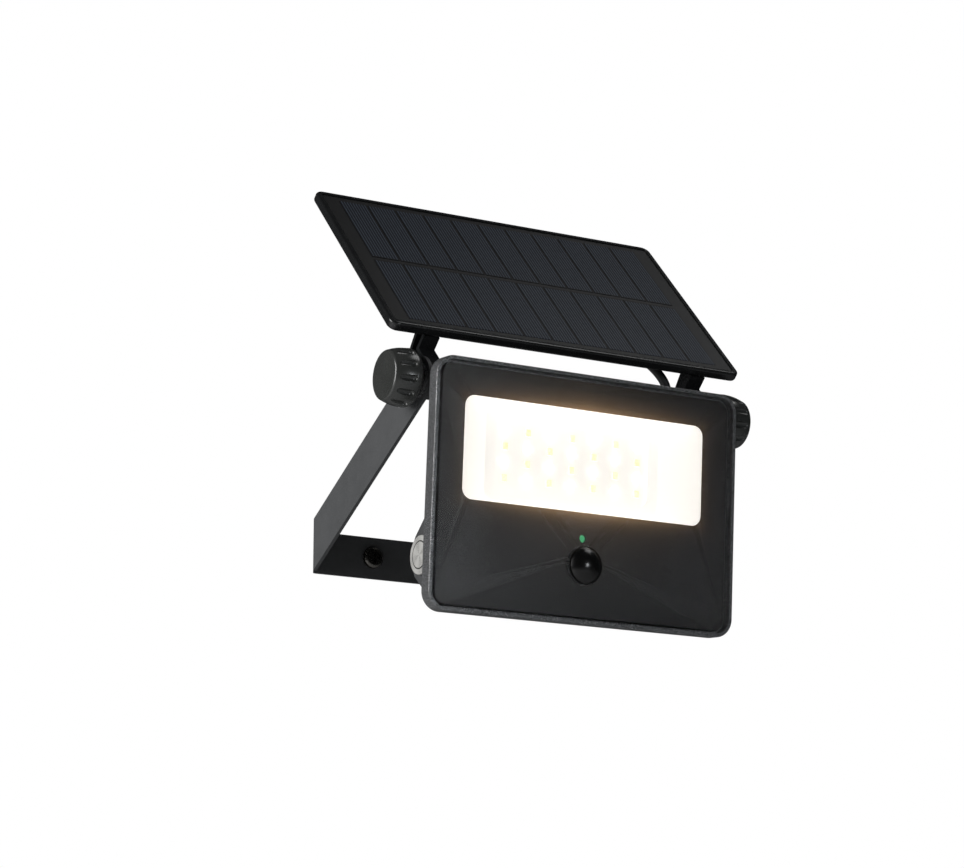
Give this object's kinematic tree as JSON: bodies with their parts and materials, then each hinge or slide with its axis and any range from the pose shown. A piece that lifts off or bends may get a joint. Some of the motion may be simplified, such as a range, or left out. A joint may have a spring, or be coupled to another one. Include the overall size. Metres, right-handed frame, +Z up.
{
  "type": "solar flood light",
  "caption": "Wall-mounted flood light with a tilting solar panel on the same pivot, a motion sensor, a push button and clamp knobs on a strip bracket.",
  "frame": {"origin": "centre of the wall plate's back face, midway between the two wall screws", "axes": "+X along the pivot, to the right as seen from the front; +Y into the wall; +Z up"},
  "size_m": [0.1944, 0.1573, 0.2164],
  "materials": {
    "bracket_paint": "satin black powder coat",
    "housing_paint": "satin dark grey with a fine sparkle",
    "housing_plastic": "fine-grained black moulding",
    "panel_plastic": "satin black moulding",
    "knob_plastic": "satin black moulding with glossy flutes",
    "washer_nylon": "black nylon",
    "screw_steel": "zinc-plated steel",
    "black_steel": "black oxide steel",
    "stud_steel": "plain steel",
    "insert_brass": "plain brass",
    "front_glass": "clear tempered glass",
    "glass_print": "black printed border",
    "seal_rubber": "black silicone",
    "reflector_white": "bright white moulding",
    "board_white": "white solder mask",
    "board_green": "green solder mask",
    "led_warm": "lit warm white light",
    "led_phosphor": "yellow phosphor",
    "spreader_metal": "plain aluminium",
    "lens_black": "glossy black dome",
    "sensor_can": "nickel-plated can",
    "led_green": "green diffused",
    "capacitor_black": "sleeved can",
    "ferrite": "dark ferrite",
    "chip_black": "moulded epoxy",
    "connector_white": "ivory nylon",
    "cell_wrap": "blue shrink wrap",
    "button_steel": "turned stainless steel",
    "terminal_metal": "tinned tags",
    "gland_nylon": "black nylon",
    "solar_sheet": "black backing under clear resin",
    "solar_silicon": "dark blue silicon",
    "cable_rubber": "black jacket"
  },
  "bodies": {
    "bracket": {"wall_bracket": "bracket_paint", "wall_screws": "black_steel", "outer_friction_washers": "washer_nylon"},
    "head": {"pivot_inserts": "insert_brass", "inner_friction_washers": "washer_nylon", "front_frame": "housing_paint", "glass_cover": "front_glass", "glass_border_print": "glass_print", "glass_gasket": "seal_rubber", "cover_seal": "seal_rubber", "rear_cover": "housing_plastic", "cover_screws": "black_steel", "reflector": "reflector_white", "led_board": "board_white", "leds_lit_bank": "led_warm", "leds_unlit_bank": "led_phosphor", "heat_spreader": "spreader_metal", "led_board_screws": "screw_steel", "pir_lens": "lens_black", "pir_sensor": "sensor_can", "sensor_board": "board_green", "indicator_led": "led_green", "control_board": "board_green", "board_capacitor": "capacitor_black", "board_inductor": "ferrite", "board_chips": "chip_black", "wire_connectors": "connector_white", "battery_cells": "cell_wrap", "battery_holder": "chip_black", "button_body": "button_steel", "button_seal": "seal_rubber", "button_nut": "button_steel", "button_terminals": "terminal_metal", "cable_gland_body": "gland_nylon", "cable_gland_nut": "gland_nylon", "cable": "cable_rubber"},
    "panel": {"panel_tray": "panel_plastic", "solar_laminate": "solar_sheet", "solar_cells": "solar_silicon", "panel_arm_left": "panel_plastic", "panel_arm_right": "panel_plastic", "panel_arm_screws": "black_steel", "junction_box": "panel_plastic", "junction_board": "board_green", "panel_strain_relief": "cable_rubber"},
    "washer_left": {"knob_washer_left": "stud_steel"},
    "washer_right": {"knob_washer_right": "stud_steel"},
    "knob_left_group": {"knob_left": "knob_plastic", "knob_stud_left": "stud_steel"},
    "knob_right_group": {"knob_right": "knob_plastic", "knob_stud_right": "stud_steel"},
    "button": {"button_cap": "button_steel"}
  },
  "joints": [
    {"name": "head_tilt", "type": "hinge", "parent": "bracket", "child": "head", "pos_m": [0, -0.1052, 0.06245], "axis": [1, 0, 0], "range_deg": [-6, 40]},
    {"name": "panel_tilt", "type": "hinge", "parent": "head", "child": "panel", "pos_m": [0, -0.1052, 0.06245], "axis": [1, 0, 0], "range_deg": [-6, 40], "deforming": ["cable"]},
    {"name": "washer_left_travel", "type": "slide", "parent": "head", "child": "washer_left", "axis": [-1, 0, 0], "range_m": [0, 0.001]},
    {"name": "washer_right_travel", "type": "slide", "parent": "head", "child": "washer_right", "axis": [1, 0, 0], "range_m": [0, 0.001]},
    {"name": "knob_left_turn", "type": "hinge", "parent": "washer_left", "child": "knob_left_group", "pos_m": [0, -0.1052, 0.06245], "axis": [-1, 0, 0], "range_deg": [0, 360]},
    {"name": "knob_right_turn", "type": "hinge", "parent": "washer_right", "child": "knob_right_group", "pos_m": [0, -0.1052, 0.06245], "axis": [1, 0, 0], "range_deg": [0, 360]},
    {"name": "button_press", "type": "slide", "parent": "head", "child": "button", "axis": [1, 0, 0], "range_m": [0, 0.0012], "stiffness_N_per_m": 1500, "springref_m": -0.001}
  ],
  "couplings": [
    {"joint": "knob_left_turn", "follows": "washer_left_travel", "rad_per_m": 6283.2},
    {"joint": "knob_right_turn", "follows": "washer_right_travel", "rad_per_m": 6283.2}
  ]
}
